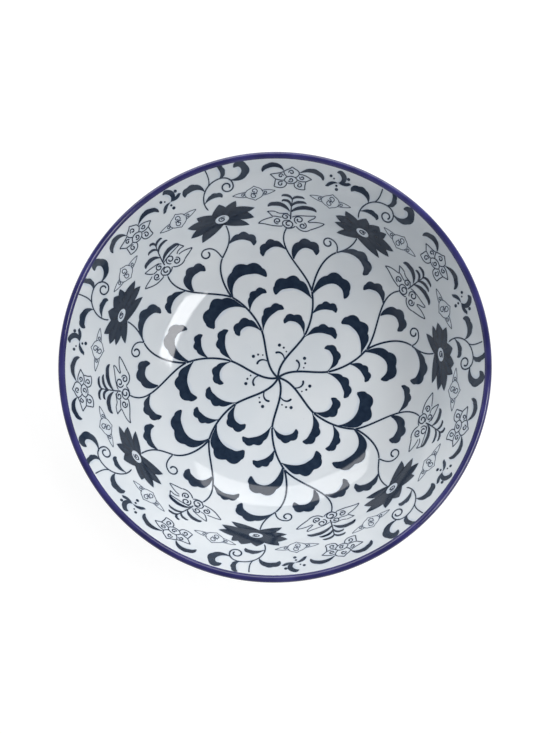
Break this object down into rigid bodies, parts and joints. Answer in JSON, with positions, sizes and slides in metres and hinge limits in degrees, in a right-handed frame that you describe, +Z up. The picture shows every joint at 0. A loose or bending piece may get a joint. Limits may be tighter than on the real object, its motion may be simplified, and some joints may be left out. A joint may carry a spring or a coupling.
{
  "type": "serving bowl",
  "caption": "Footed porcelain serving bowl with a sloping wall, a dished floor, a cobalt rim band and a blue flower scroll inside; holds and serves food.",
  "frame": {"origin": "on the table, at the centre of the foot ring's sole", "axes": "+Z up the bowl's axis; +Y runs through the middle of one dark flower"},
  "size_m": [0.21, 0.21, 0.076],
  "materials": {
    "porcelain": "fired white porcelain",
    "bare_porcelain": "unglazed, fine and matt",
    "white_glaze": "clear glossy glaze, cool white",
    "cobalt_band": "glossy violet cobalt",
    "cobalt_print": "dark cobalt under a glossy glaze",
    "fine_print": "fine cobalt lines under a glossy glaze"
  },
  "bodies": {
    "root": {"bowl_body": "porcelain", "foot_ring": "bare_porcelain", "inner_glaze": "white_glaze", "outer_glaze": "white_glaze", "base_glaze": "white_glaze", "rim_band": "cobalt_band", "scroll_stems": "cobalt_print", "scroll_tendrils": "cobalt_print", "scroll_leaves": "cobalt_print", "dark_flowers": "cobalt_print", "winged_flowers": "fine_print", "rim_sprays": "cobalt_print", "rim_florets": "fine_print", "small_florets": "fine_print", "rim_sprigs": "cobalt_print"}
  },
  "joints": []
}
